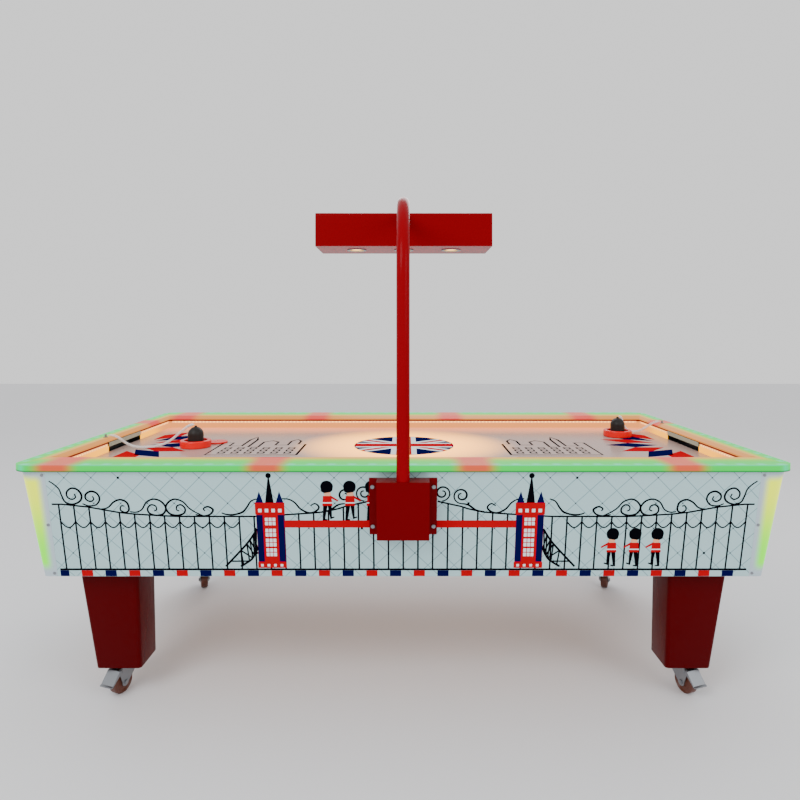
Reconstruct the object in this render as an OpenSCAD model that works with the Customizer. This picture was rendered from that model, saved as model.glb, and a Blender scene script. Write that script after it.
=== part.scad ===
// Arcade air hockey table: a castered cabinet with a lit rim, an air-fed playfield,
// two tethered mallets, and a bent mast that carries a lamp and score hood over the middle.
// Millimetres. +X runs along the table, +Y across it and away from the mast, +Z up from the floor.

/* [Table] */
// Length over the rim
table_len = 2400; // [2300:10:2500]
// Width over the rim
table_wid = 1240; // [1220:10:1270]
// Height of the rim above the floor
table_hgt = 800; // [780:5:820]
// Height of the playing surface above the floor
field_z = 748; // [744:1:750]

/* [Rim and cushions] */
// Width of the long rims, from the outer edge to the playing edge
rim_side_w = 165; // [160:1:170]
// Width of the end rims
rim_end_w = 76; // [74:1:80]
// Radius of the rim's corners in plan
rim_corner_r = 65; // [50:5:80]
// Thickness of the cushion bars
cushion_t = 12; // [10:1:14]
// Clear width of each goal
goal_w = 280; // [260:10:300]
// Clear height of each goal slot
goal_h = 18; // [15:1:20]

/* [Cabinet] */
// How far the long panels lean in from top to bottom
side_lean = 74; // [60:2:80]
// How far the end panels lean in from top to bottom
end_lean = 50; // [40:2:60]
// Height of the cabinet's underside above the floor
cabinet_bottom = 432; // [420:2:440]
// Horizontal thickness of the panels
panel_t = 12; // [9:1:15]

/* [Mast and hood] */
// Outer diameter of the mast tube
mast_d = 40; // [36:1:42]
// Bend radius of the mast's centreline
mast_bend_r = 270; // [240:10:300]
// Height of the hood's flat top above the floor
hood_top = 1666; // [1640:2:1700]
// Length of the hood
hood_len = 684; // [640:2:720]
// Height of the hood
hood_hgt = 130; // [120:1:140]

/* [Legs and casters] */
// Height of the legs' undersides above the floor
leg_bottom = 97; // [97:1:97]
// Radius of the caster wheels
wheel_r = 37.5; // [36:0.5:38]
// Distance from the swivel axis to the wheel's axle
caster_trail = 28; // [27:1:29]

/* [Mallets and puck] */
// Outer diameter of a mallet's base
mallet_d = 119; // [110:1:120]
// Height of a mallet without its eye
mallet_h = 80; // [76:1:86]
// Diameter of the puck
puck_d = 80; // [70:1:84]

/* [Hidden] */
$fn = 48;

// Colours
red = [0.55, 0.02, 0.04];
zinc = [0.62, 0.65, 0.67];
black = [0.06, 0.06, 0.07];
milky = [0.90, 0.95, 0.92];
board = [0.72, 0.60, 0.42];

// The footprint box is centred on the origin, so the table itself sits back by half of
// what the mast bracket stands out in front of the rim.
bracket_out = 48;
table_y = bracket_out / 2;

// Rim: a channel that is open underneath, with a bevel down to the cushions
rim_edge_h = 20;
rim_skin = 4.5;
rim_lip = 5;
rim_bevel_drop = 9;
side_bevel = 40;
end_bevel = 12;
rim_edge_r = rim_skin;
cushion_top = table_hgt - rim_bevel_drop - rim_lip;
half_len = table_len / 2;
half_wid = table_wid / 2;
play_x = half_len - rim_end_w;
play_y = half_wid - rim_side_w;
light_step = 3;
light_low = 22;

// Cabinet
overhang = 10;
cabinet_top = table_hgt - rim_edge_h;
cab_h = cabinet_top - cabinet_bottom;
top_x = half_len - overhang;
top_y = half_wid - overhang;
bot_x = top_x - end_lean;
bot_y = top_y - side_lean;
seam_x = top_x - 99;
seam_y = top_y - 112;
side_angle = atan(side_lean / cab_h);
end_angle = atan(end_lean / cab_h);
lens_t = 4;
lens_top_r = 70;
lens_bot_r = 20;

// Board and frame inside the cabinet
deck_t = 14;
base_t = 18;
field_t = 12;
tray_bottom = 690;
tray_wall = 12;
rail_t = 40;
frame_x = 1040;
frame_y = 455;

// Goal chutes behind the end cushions
chute_wall = 3;
chute_x0 = play_x + 2.5;
chute_in = 1062;
chute_floor = 560;
chute_knee = 684;
chute_heel = 645;
outlet_h = 70;
outlet_w = 200;

// Mast and bracket
mast_y = -(half_wid + mast_d / 2 + 6);
mast_wall = 2.5;
bracket_top = 760;
bracket_bottom = 576;
bracket_half = 79;
flange_half = 104;
flange_t = 4;
sheet = 3;
screw_x = 94;
screw_zs = [604, 733];
hood_y = 0;
hood_half = 110;
hood_edge_r = 12;
hood_skin = 2;
saddle_t = 6;
saddle = [90, 150];
stud_at = [34, 60];
mast_z = hood_top - hood_skin - saddle_t + 2 - mast_d / 2;
lamp_xs = [-190, 0, 190];
lamp_r = 36;
window_h = 64;
window_w = 150;

// Legs
leg_in = 862;
leg_out_top = 1050;
leg_out_bot = 1010;
leg_y_in = [332, 348];
leg_y_out = [458, 488];
leg_wall = 4;
caster_x = (leg_in + leg_out_bot) / 2;
caster_y = (leg_y_in[0] + leg_y_out[0]) / 2;
caster_turn = [250, 290, 112, 66];
side_x = [-1, 1, -1, 1];
side_y = [-1, -1, 1, 1];

// Caster, in its own frame: the swivel axis is Z, and the wheel trails towards +X
wheel_w = 32;
bore_gap = 0.08;
axle_r = 4;
pin_r = 6;
crown_z = 84;
crown_t = 4.7;
fork_gap = 18;
fork_t = 3;
pedal_x = 46;
pedal_z = 78;
pedal_pin_r = 3;
pedal_in = fork_gap + fork_t + 0.6;

// Mallets and puck
float_gap = 0.3;
knob_r = 30;
base_h = 28;
dish_r = 42;
dish_floor = 9;
mallet_left = [-828, -38];
mallet_right = [937, 213];
puck_at = [-770, 55];
puck_t = 6;

// Tethers: the outer tube of each curly cord, from its rim anchor to the eye on the knob
tether_d = 11;
tether_sides = 10;
anchor_left = [-1146, -120];
anchor_right = [1146, 245];
tether_left_route = [
    [-1137, -118, 808], [-1122, -115, 807], [-1106, -111, 800], [-1092, -106, 788],
    [-1076, -100, 774], [-1056, -92, 762], [-1032, -83, 755], [-1004, -73, 754],
    [-976, -62, 755], [-950, -50, 762], [-926, -38, 776], [-906, -28, 793],
    [-888, -22, 810], [-870, -20, 824], [-852, -24, 833], [-836, -33, 836]
];
tether_right_route = [
    [1137, 247, 808], [1122, 252, 806], [1108, 260, 798], [1096, 270, 787],
    [1083, 281, 774], [1068, 291, 762], [1048, 297, 755], [1026, 294, 756],
    [1006, 285, 764], [990, 273, 779], [977, 259, 797], [966, 244, 815],
    [956, 230, 829], [945, 218, 836]
];

// Blower
blower_z = cabinet_bottom + base_t + 106;
blower_r = 96;
blower_w = 84;
fan_r = 76;
fan_w = 64;
shaft_r = 6;
motor_r = 52;
motor_l = 110;
blower_wall = 3;
neck = [84, 54];

// ---------------------------------------------------------------- helpers

// Points of a circular arc in a plane
function arc(c, r, a0, a1, n = 6) =
    [for (i = [0:n]) c + r * [cos(a0 + (a1 - a0) * i / n), sin(a0 + (a1 - a0) * i / n)]];

// Extrudes a profile drawn in the YZ plane along X, from -half to +half
module along_x(half) rotate([90, 0, 90]) translate([0, 0, -half]) linear_extrude(2 * half) children();

// Extrudes a profile drawn in the XZ plane along Y, from -half to +half
module along_y(half) rotate([90, 0, 0]) translate([0, 0, -half]) linear_extrude(2 * half) children();

module rounded_rect(x, y, r) {
    square([2 * x - 2 * r, 2 * y], center = true);
    square([2 * x, 2 * y - 2 * r], center = true);
    for (sx = [-1, 1], sy = [-1, 1]) translate([sx * (x - r), sy * (y - r)]) circle(r);
}

// Horizontal place of a leaning outer face at height z
function side_face(z) = bot_y + side_lean * (z - cabinet_bottom) / cab_h;
function end_face(z) = bot_x + end_lean * (z - cabinet_bottom) / cab_h;
function wall_x(z) = end_face(z) - panel_t - 1.5;

// ---------------------------------------------------------------- playfield and boards

module playfield() color([0.82, 0.83, 0.84]) difference() {
    translate([-(play_x + cushion_t), -(play_y + cushion_t), field_z - field_t])
        cube([2 * (play_x + cushion_t), 2 * (play_y + cushion_t), field_t]);
    for (s = [-1, 1])
        translate([s > 0 ? play_x + 2 : -play_x - 42, -goal_w / 2 - 5, field_z - field_t - 1])
            cube([40, goal_w + 10, field_t + 2]);
}

module plenum_tray() color(board) difference() {
    translate([-(play_x - 4), -(play_y - 4), tray_bottom])
        cube([2 * (play_x - 4), 2 * (play_y - 4), field_z - field_t - tray_bottom]);
    translate([-(play_x - 4 - tray_wall), -(play_y - 4 - tray_wall), tray_bottom + tray_wall])
        cube([2 * (play_x - 4 - tray_wall), 2 * (play_y - 4 - tray_wall), field_z]);
    translate([-45, -30, tray_bottom - 1]) cube([90, 60, tray_wall + 2]);
}

// Two boards that fill the space between the cushions and the cabinet's panels
module deck_boards() color(board) {
    z = cabinet_top - deck_t - 1;
    x = end_face(z) - panel_t - 0.1;
    translate([0, 0, z]) linear_extrude(deck_t) difference() {
        rounded_rect(x, side_face(z) - panel_t - 0.1, 60);
        square([2 * (play_x + cushion_t + 0.5), 2 * (play_y + cushion_t + 0.5)], center = true);
        for (s = [-1, 1]) translate([s * (play_x + 60), 0]) square([120, goal_w + 4], center = true);
    }
}

module base_board() color(board) difference() {
    translate([0, 0, cabinet_bottom]) linear_extrude(base_t)
        rounded_rect(bot_x - panel_t - 2, bot_y - panel_t - 2, 30);
    for (x = [-60:30:60], y = [-150:20:-110])
        translate([x, y, cabinet_bottom - 1]) cylinder(r = 7, h = base_t + 2, $fn = 24);
}

module frame_ring(z) translate([0, 0, z]) linear_extrude(rail_t) difference() {
    square([2 * frame_x, 2 * frame_y], center = true);
    square([2 * (frame_x - rail_t), 2 * (frame_y - rail_t)], center = true);
}

// Timber rails and posts under the playfield's tray
module cabinet_frame() color(board) {
    low = cabinet_bottom + base_t;
    frame_ring(low);
    frame_ring(tray_bottom - rail_t);
    for (sx = [-1, 0, 1], sy = [-1, 1])
        translate([sx * (frame_x - rail_t / 2) - rail_t / 2, sy * (frame_y - rail_t / 2) - rail_t / 2, low])
            cube([rail_t, rail_t, tray_bottom - low]);
}

// ---------------------------------------------------------------- cabinet skin

// Puts something on the back panel's outer face, where the mains inlet is
module at_inlet() translate([-760, side_face(500), 500]) rotate([90 + side_angle, 0, 180]) children();

// Puts something at each of the bracket's four screws, with Z out of the front panel
module at_bracket_screws() for (s = [-1, 1], z = screw_zs)
    translate([s * screw_x, -side_face(z), z]) rotate([90 + side_angle, 0, 0]) children();

module side_panel(s) color([0.80, 0.86, 0.87]) difference() {
    along_x(seam_x - 0.3)
        polygon([[s * bot_y, cabinet_bottom], [s * top_y, cabinet_top],
                 [s * (top_y - panel_t), cabinet_top], [s * (bot_y - panel_t), cabinet_bottom]]);
    if (s > 0) at_inlet() cube([49, 29, 60], center = true);
    if (s < 0) at_bracket_screws() translate([0, 0, -30]) cylinder(r = 3.3, h = 60, $fn = 24);
}

module end_panel(s) color([0.80, 0.86, 0.87]) difference() {
    along_y(seam_y - 0.3)
        polygon([[s * bot_x, cabinet_bottom], [s * top_x, cabinet_top],
                 [s * (top_x - panel_t), cabinet_top], [s * (bot_x - panel_t), cabinet_bottom]]);
    translate([s * end_face(chute_floor), 0, chute_floor + chute_wall + outlet_h / 2])
        cube([60, outlet_w, outlet_h], center = true);
}

// One corner of the cabinet, front right, between the two seam planes
module corner_block(inset, r_top, r_bot) hull() {
    translate([0, 0, cabinet_top - 0.01]) linear_extrude(0.01)
        corner_outline(top_x - inset, top_y - inset, r_top);
    translate([0, 0, cabinet_bottom]) linear_extrude(0.01)
        corner_outline(bot_x - inset, bot_y - inset, r_bot);
}
module corner_outline(x, y, r) polygon(concat(
    [[seam_x, -seam_y], [seam_x, -y]], arc([x - r, -(y - r)], r, -90, 0, 10), [[x, -seam_y]]));

// Puts something at the screws of one corner lens, with Z out of the face it is on
module at_lens_screws(sx, sy) for (z = [443, 606, 768]) {
    translate([sx * (seam_x + 9), sy * side_face(z), z]) rotate([-sy * (90 + side_angle), 0, 0]) children();
    translate([sx * end_face(z), sy * (seam_y + 9), z]) rotate([0, sx * (90 + end_angle), 0]) children();
}

module corner_lens(sx, sy) color(milky) difference() {
    scale([sx, -sy, 1]) difference() {
        corner_block(0, lens_top_r, lens_bot_r);
        corner_block(lens_t, lens_top_r - lens_t, lens_bot_r - lens_t);
    }
    at_lens_screws(sx, sy) translate([0, 0, -9]) cylinder(r = 2.2, h = 18, $fn = 24);
}

module lens_screws() color(zinc) for (sx = [-1, 1], sy = [-1, 1]) at_lens_screws(sx, sy) {
    cylinder(r = 4.5, h = 1.6, $fn = 24);
    translate([0, 0, -8]) cylinder(r = 1.8, h = 8.5, $fn = 24);
}

// ---------------------------------------------------------------- rim, cushions and lights

// Section of a rim: first number inwards from the outer edge, second number up from the rim's top
function rim_section(w, bevel) = concat(
    [[0, -rim_edge_h]],
    arc([rim_edge_r, -rim_edge_r], rim_edge_r, 180, 90),
    [[w - bevel, 0], [w, -rim_bevel_drop], [w, -rim_bevel_drop - rim_lip],
     [w - max(14, bevel - 8), -rim_bevel_drop - rim_lip],
     [w - max(14.2, bevel + 2), -rim_skin], [rim_skin, -rim_skin], [rim_skin, -rim_edge_h]]
);

// A rail along X on the -Y side, mitred into its two neighbours, with its skirt carried round the corners
module rail(half_l, half_w, w, w_next, bevel) {
    r = rim_corner_r;
    module mitred() polygon([[-half_l, -half_w], [half_l, -half_w],
                             [half_l - w_next, w - half_w], [w_next - half_l, w - half_w]]);
    intersection() {
        translate([0, 0, table_hgt]) along_x(half_l) translate([-half_w, 0]) polygon(rim_section(w, bevel));
        translate([0, 0, table_hgt - 40]) linear_extrude(80) intersection() {
            mitred();
            rounded_rect(half_l, half_w, r);
        }
    }
    translate([0, 0, table_hgt - rim_edge_h]) linear_extrude(rim_edge_h - rim_skin + 0.2) intersection() {
        mitred();
        for (s = [-1, 1]) translate([s * (half_l - r / 2), r / 2 - half_w]) square(r, center = true);
        difference() {
            rounded_rect(half_l, half_w, r);
            rounded_rect(half_l - rim_skin, half_w - rim_skin, r - rim_skin);
        }
    }
}

module rim_long(s) color(milky) rotate([0, 0, s > 0 ? 180 : 0])
    rail(half_len, half_wid, rim_side_w, rim_end_w, side_bevel);
module rim_end(s) color(milky) rotate([0, 0, s > 0 ? 90 : -90])
    rail(half_wid, half_len, rim_end_w, rim_side_w, end_bevel);

// Section of a cushion bar: a bumper below and a set-back face for the lights above
cushion_section = [
    [0, field_z], [0, field_z + light_low - 2], [light_step, field_z + light_low], [light_step, cushion_top],
    [cushion_t, cushion_top], [cushion_t, field_z]
];

module side_cushions() color([0.95, 0.85, 0.70]) for (a = [0, 180])
    rotate([0, 0, a]) along_x(play_x) translate([play_y, 0]) polygon(cushion_section);

module end_cushions() color([0.95, 0.85, 0.70]) for (sx = [-1, 1], sy = [-1, 1]) {
    reach = play_y + cushion_t - goal_w / 2;
    translate([0, sy * (goal_w / 2 + reach / 2), 0]) rotate([0, 0, sx > 0 ? 0 : 180]) along_y(reach / 2)
        translate([play_x, 0]) polygon(cushion_section);
}

// Tapes of lights along the cushions, and on the deck under the outer edge of the rim
module led_strips() color([1, 0.95, 0.6]) {
    z = field_z + light_low + 1;
    for (s = [-1, 1]) {
        translate([-play_x + 12, s * (play_y + light_step - 1) - 1, z]) cube([2 * play_x - 24, 2, 8]);
        translate([-half_len + 90, s * (half_wid - 46) - 5, cabinet_top - 1]) cube([table_len - 180, 10, 2]);
    }
    for (sx = [-1, 1], sy = [-1, 1]) {
        translate([sx * (play_x + light_step - 1) - 1, sy > 0 ? goal_w / 2 + 6 : 8 - play_y, z])
            cube([2, play_y - goal_w / 2 - 14, 8]);
        translate([sx * (half_len - 36) - 5, sy > 0 ? goal_w / 2 + 10 : 90 - half_wid, cabinet_top - 1])
            cube([10, half_wid - goal_w / 2 - 100, 2]);
    }
}

// ---------------------------------------------------------------- goals and power

// A black hopper: its mouth is the goal slot, and its foot opens through the end panel
module goal_chute(s) color(black) rotate([0, 0, s > 0 ? 0 : 180]) {
    half = goal_w / 2 - 1;
    t = chute_wall;
    top = cushion_top - 2;
    sill = chute_floor + outlet_h + t;
    difference() {
        along_y(half) polygon([
            [chute_x0, chute_knee], [chute_x0, top], [wall_x(field_z), top], [wall_x(field_z), field_z],
            [wall_x(chute_floor), chute_floor], [chute_in, chute_floor], [chute_in, chute_heel]]);
        along_y(half - t) polygon([
            [chute_x0 + t, chute_knee - 2], [chute_x0 + t, top - t],
            [wall_x(field_z) - t, top - t], [wall_x(field_z) - t, field_z],
            [wall_x(sill) - t, sill], [wall_x(sill) + 6, sill], [wall_x(chute_floor) + 6, chute_floor + t],
            [chute_in + t, chute_floor + t], [chute_in + t, chute_heel - 2]]);
        translate([chute_x0 - 5, t - half, field_z - 0.5]) cube([12, 2 * (half - t), goal_h + 0.5]);
    }
    // the bar over the slot, in line with the cushions
    translate([play_x, 0.5 - goal_w / 2, field_z + goal_h])
        cube([cushion_t, goal_w - 1, top - field_z - goal_h]);
}

module power_inlet() color(black) at_inlet() difference() {
    union() {
        translate([-32, -20, 0.05]) cube([64, 40, 3]);
        translate([-24, -14, -10]) cube([48, 28, 11]);
    }
    translate([-15, -9, -6]) cube([30, 18, 12]);
}

// ---------------------------------------------------------------- mast and bracket

module mast_solid(r, over) {
    rise = mast_z - mast_bend_r;
    translate([0, mast_y, bracket_top - over]) cylinder(r = r, h = rise - bracket_top + over);
    translate([0, mast_y + mast_bend_r, rise]) rotate([90, 0, -90]) rotate_extrude(angle = 90, $fn = 96)
        translate([mast_bend_r, 0]) circle(r);
    translate([0, mast_y + mast_bend_r, mast_z]) rotate([-90, 0, 0])
        cylinder(r = r, h = hood_y + 70 - mast_y - mast_bend_r);
}

// The tube stands on the bracket, runs in through the hood's face, and carries the hood on a plate
module mast() color(red) {
    difference() {
        mast_solid(mast_d / 2, 0);
        mast_solid(mast_d / 2 - mast_wall, 1);
    }
    translate([0, hood_y + 69, mast_z]) rotate([-90, 0, 0]) cylinder(r = mast_d / 2, h = 2);
    difference() {
        translate([-saddle[0] / 2, hood_y - saddle[1] / 2, mast_z + mast_d / 2 - 2])
            cube([saddle[0], saddle[1], saddle_t - 0.05]);
        for (sx = [-1, 1], sy = [-1, 1]) translate([sx * stud_at[0], hood_y + sy * stud_at[1], mast_z])
            cylinder(r = 3.2, h = 60, $fn = 24);
    }
}

function lean_profile(z0, z1, out0, out1) =
    [[-side_face(z0) - out0, z0], [-side_face(z1) - out0, z1],
     [-side_face(z1) - out1, z1], [-side_face(z0) - out1, z0]];

module mast_bracket() color(red) {
    out = half_wid + bracket_out - side_face(bracket_top);
    difference() {
        along_x(bracket_half) polygon(lean_profile(bracket_bottom, bracket_top, 0.05, out));
        along_x(bracket_half - sheet)
            polygon(lean_profile(bracket_bottom + sheet, bracket_top - sheet, -1, out - sheet));
    }
    for (s = [-1, 1]) difference() {
        translate([s * (bracket_half + flange_half) / 2 - s * 1, 0, 0])
            along_x((flange_half - bracket_half) / 2 + 1)
            polygon(lean_profile(bracket_bottom, bracket_top, 0.05, flange_t));
        at_bracket_screws() translate([0, 0, -10]) cylinder(r = 3.2, h = 30, $fn = 24);
    }
}

// Four bolts through the bracket's flanges, and four nuts on studs under the plate in the hood
module mast_screws() color(zinc) {
    at_bracket_screws() {
        translate([0, 0, flange_t * cos(side_angle)]) cylinder(r = 6, h = 3.5, $fn = 24);
        translate([0, 0, -14]) cylinder(r = 3, h = 18, $fn = 24);
    }
    for (sx = [-1, 1], sy = [-1, 1])
      translate([sx * stud_at[0], hood_y + sy * stud_at[1], mast_z + mast_d / 2 - 2]) {
        translate([0, 0, -4]) cylinder(r = 5.5, h = 3.95, $fn = 6);
        translate([0, 0, -6]) cylinder(r = 3, h = saddle_t + 5.9, $fn = 24);
    }
}

// ---------------------------------------------------------------- hood

function hood_section(inset) =
    let (r = hood_edge_r - inset, t = hood_half - inset, top = hood_top - inset) concat(
    [[hood_y - t, hood_top - hood_hgt]],
    arc([hood_y - t + r, top - r], r, 180, 90),
    arc([hood_y + t - r, top - r], r, 90, 0),
    [[hood_y + t, hood_top - hood_hgt]]
);

module hood_shell() color(red) difference() {
    along_x(hood_len / 2) polygon(hood_section(0));
    translate([0, 0, -0.01]) along_x(hood_len / 2 - hood_skin) polygon(hood_section(hood_skin));
    translate([0, hood_y - hood_half - 5, mast_z]) rotate([-90, 0, 0])
        cylinder(r = mast_d / 2 + 0.5, h = 10);
    for (s = [-1, 1]) translate([s * hood_len / 2, hood_y, hood_top - hood_hgt / 2])
        cube([20, window_w, window_h], center = true);
}

module hood_underside() color(red) difference() {
    z = hood_top - hood_hgt;
    half = hood_half - hood_skin - 0.1;
    translate([-hood_len / 2 + 2.1, hood_y - half, z]) cube([hood_len - 4.2, 2 * half, 2]);
    for (x = lamp_xs) translate([x, hood_y, z - 1]) cylinder(r = lamp_r - 4, h = 4);
}

module lamp_bezels() color(zinc) for (x = lamp_xs) translate([x, hood_y, hood_top - hood_hgt]) difference() {
    union() {
        translate([0, 0, -2.5]) cylinder(r = lamp_r + 3, h = 2.4);
        translate([0, 0, -1]) cylinder(r = lamp_r - 4.2, h = 26);
    }
    translate([0, 0, -3]) cylinder(r = lamp_r - 7, h = 40);
}

module lamp_lenses() color([1, 0.95, 0.8]) for (x = lamp_xs)
    translate([x, hood_y, hood_top - hood_hgt + 3]) cylinder(r = lamp_r - 7.2, h = 4);

module score_windows() color(black) for (s = [-1, 1])
    translate([s * (hood_len / 2 - 2.5), hood_y, hood_top - hood_hgt / 2])
        cube([3, window_w - 0.4, window_h - 0.4], center = true);

// ---------------------------------------------------------------- legs

// Corners of the leg's tapered outline at height z, moved in by inset
function leg_corners(inset, z) = let (
    k = (z - leg_bottom) / (cabinet_bottom - leg_bottom),
    x0 = leg_in + inset,
    x1 = leg_out_bot + k * (leg_out_top - leg_out_bot) - inset,
    y0 = leg_y_in[0] + k * (leg_y_in[1] - leg_y_in[0]) + inset,
    y1 = leg_y_out[0] + k * (leg_y_out[1] - leg_y_out[0]) - inset
) [[x0, y0, z], [x1, y0, z], [x1, y1, z], [x0, y1, z]];

module leg_block(inset, z0, z1) polyhedron(
    concat(leg_corners(inset, z0), leg_corners(inset, z1)),
    [[0, 1, 2, 3], [7, 6, 5, 4], [0, 4, 5, 1], [1, 5, 6, 2], [2, 6, 7, 3], [3, 7, 4, 0]]);

module leg(sx, sy) color(red) scale([sx, sy, 1]) difference() {
    leg_block(0, leg_bottom, cabinet_bottom);
    leg_block(leg_wall, leg_bottom + 6, cabinet_bottom + 4);
}

// ---------------------------------------------------------------- casters

// Puts a caster drawn in its own frame under leg i, turned the way its wheel trails
module at_caster(i) translate([side_x[i] * caster_x, side_y[i] * caster_y, 0])
    rotate([0, 0, caster_turn[i]]) children();

// Mounting plate, ball race and kingpin under each leg
module caster_plates() color(zinc) for (i = [0:3])
  translate([side_x[i] * caster_x, side_y[i] * caster_y, 0]) {
    translate([-40, -32, leg_bottom - 4]) cube([80, 64, 4]);
    for (x = [-1, 1], y = [-1, 1]) translate([x * 32, y * 25, leg_bottom - 7])
        cylinder(r = 6, h = 3.5, $fn = 6);
    translate([0, 0, crown_z + crown_t + 0.3])
        cylinder(r = 24, h = leg_bottom - 4 - crown_z - crown_t - 0.2);
    translate([0, 0, crown_z - 1]) cylinder(r = pin_r, h = 8);
    translate([0, 0, crown_z - 4]) cylinder(r = 10, h = 3.7);
}

module fork_cheek() difference() {
    union() {
        polygon([[-24, crown_z + crown_t], [-24, crown_z - 10], [caster_trail - 13, wheel_r - 2],
                 [caster_trail + 13, wheel_r + 2],
                 [pedal_x + 8, pedal_z - 4], [pedal_x + 6, crown_z + crown_t]]);
        translate([caster_trail, wheel_r]) circle(13);
        translate([pedal_x, pedal_z]) circle(8);
    }
    translate([caster_trail, wheel_r]) circle(axle_r + 0.05);
    translate([pedal_x, pedal_z]) circle(pedal_pin_r + 0.05);
}

// Stamped fork with its axle bolt and the pin of the brake pedal
module caster_fork(i) color(zinc) at_caster(i) {
    difference() {
        translate([-24, -fork_gap - fork_t, crown_z]) cube([pedal_x - 14, 2 * (fork_gap + fork_t), crown_t]);
        translate([0, 0, crown_z - 1]) cylinder(r = pin_r + bore_gap, h = crown_t + 2);
    }
    for (s = [-1, 1]) translate([0, s * (fork_gap + fork_t / 2), 0]) along_y(fork_t / 2) fork_cheek();
    translate([caster_trail, 0, wheel_r]) rotate([90, 0, 0]) {
        translate([0, 0, -fork_gap - fork_t - 4]) cylinder(r = axle_r, h = 2 * (fork_gap + fork_t + 4));
        for (s = [-1, 1]) translate([0, 0, s * (fork_gap + fork_t + 2.1) - 2])
            cylinder(r = 7, h = 4, $fn = 6);
    }
    translate([pedal_x, 0, pedal_z]) rotate([90, 0, 0])
        translate([0, 0, -pedal_in - 5]) cylinder(r = pedal_pin_r, h = 2 * pedal_in + 10);
}

// Half of the wheel's section, from its mid plane outwards; m mirrors it
function wheel_side(m) = let (w = wheel_w / 2) [
    [axle_r + bore_gap, m * w], [14, m * w], [16, m * (w - 4)], [wheel_r - 10, m * (w - 4)],
    [wheel_r - 7, m * (w - 1)], [wheel_r - 3, m * (w - 1.6)],
    [wheel_r - 0.8, m * (w - 3.6)], [wheel_r, m * (w - 6)]
];

module caster_wheel(i) color([0.30, 0.13, 0.08]) at_caster(i)
    translate([caster_trail, 0, wheel_r]) rotate([90, 0, 0]) rotate_extrude($fn = 64)
        polygon(concat(wheel_side(-1), [for (k = [7:-1:0]) wheel_side(1)[k]]));

// Foot pedal: two cheeks outside the fork and a plate that slopes down past the wheel
module caster_brake(i) color(zinc) at_caster(i) {
    for (s = [-1, 1]) translate([0, s * (pedal_in + 1.5), 0]) along_y(1.5) difference() {
        union() {
            translate([pedal_x, pedal_z]) circle(8);
            polygon([[pedal_x - 4, pedal_z + 7], [pedal_x + 12, pedal_z + 8], [pedal_x + 40, pedal_z - 26],
                     [pedal_x + 37, pedal_z - 28], [pedal_x + 7, pedal_z - 4]]);
        }
        translate([pedal_x, pedal_z]) circle(pedal_pin_r + bore_gap);
    }
    along_y(pedal_in + 3) polygon([
        [pedal_x + 12, pedal_z + 4], [pedal_x + 12, pedal_z + 8],
        [pedal_x + 40, pedal_z - 26], [pedal_x + 46, pedal_z - 28],
        [pedal_x + 46, pedal_z - 31], [pedal_x + 38, pedal_z - 30]]);
}

// ---------------------------------------------------------------- blower

module blower_housing() color([0.35, 0.37, 0.40]) {
    front = -blower_w / 2;
    difference() {
        union() {
            translate([0, 0, blower_z]) rotate([90, 0, 0])
                cylinder(r = blower_r, h = blower_w, center = true);
            translate([-neck[0] / 2, -neck[1] / 2, blower_z])
                cube([neck[0], neck[1], tray_bottom - blower_z]);
            translate([-70, -40, cabinet_bottom + base_t]) cube([140, 80, 24]);
        }
        translate([0, 0, blower_z]) rotate([90, 0, 0])
            cylinder(r = blower_r - blower_wall, h = blower_w - 2 * blower_wall, center = true);
        translate([blower_wall - neck[0] / 2, blower_wall - neck[1] / 2, blower_z])
            cube([neck[0] - 2 * blower_wall, neck[1] - 2 * blower_wall, tray_bottom]);
        translate([0, front + blower_wall + 1, blower_z]) rotate([90, 0, 0]) cylinder(r = 58, h = 10);
        translate([0, -front + 1, blower_z]) rotate([90, 0, 0]) cylinder(r = shaft_r + 3, h = 10);
    }
}

module blower_motor() color([0.20, 0.22, 0.25])
  translate([0, blower_w / 2 + 0.1, blower_z]) rotate([-90, 0, 0]) {
    cylinder(r = motor_r, h = motor_l);
    for (a = [0:30:330]) rotate([0, 0, a]) translate([motor_r - 1, -1.5, 8]) cube([6, 3, motor_l - 16]);
    translate([0, 0, -60]) cylinder(r = shaft_r, h = 61);
    translate([-30, motor_r - 10, 25]) cube([60, blower_z - cabinet_bottom - base_t - motor_r + 10, 60]);
}

// Squirrel-cage fan on the motor's shaft
module impeller() color([0.75, 0.76, 0.78]) translate([0, 0, blower_z]) rotate([-90, 0, 0]) {
    difference() {
        union() {
            translate([0, 0, fan_w / 2 - 3]) cylinder(r = fan_r, h = 3);
            cylinder(r = 14, h = fan_w / 2);
        }
        translate([0, 0, -1]) cylinder(r = shaft_r + bore_gap, h = fan_w);
    }
    translate([0, 0, -fan_w / 2]) difference() {
        cylinder(r = fan_r, h = 3);
        translate([0, 0, -1]) cylinder(r = fan_r - 14, h = 5);
    }
    for (a = [0:15:345]) rotate([0, 0, a])
        translate([fan_r - 12, -1, -fan_w / 2 + 1]) cube([11, 2, fan_w - 2]);
}

// ---------------------------------------------------------------- mallets, puck and tethers

module mallet_base(at) color([0.85, 0.08, 0.07])
  translate([at[0], at[1], field_z + float_gap]) rotate_extrude($fn = 96)
    polygon(concat(
        [[7, 0]], arc([mallet_d / 2 - 4, 4], 4, -90, 0), arc([mallet_d / 2 - 4, base_h - 4], 4, 0, 90),
        arc([dish_r + 5, base_h - 3], 3, 90, 180),
        [[dish_r, dish_floor + 2], [dish_r - 3, dish_floor], [7, dish_floor]]));

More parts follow.
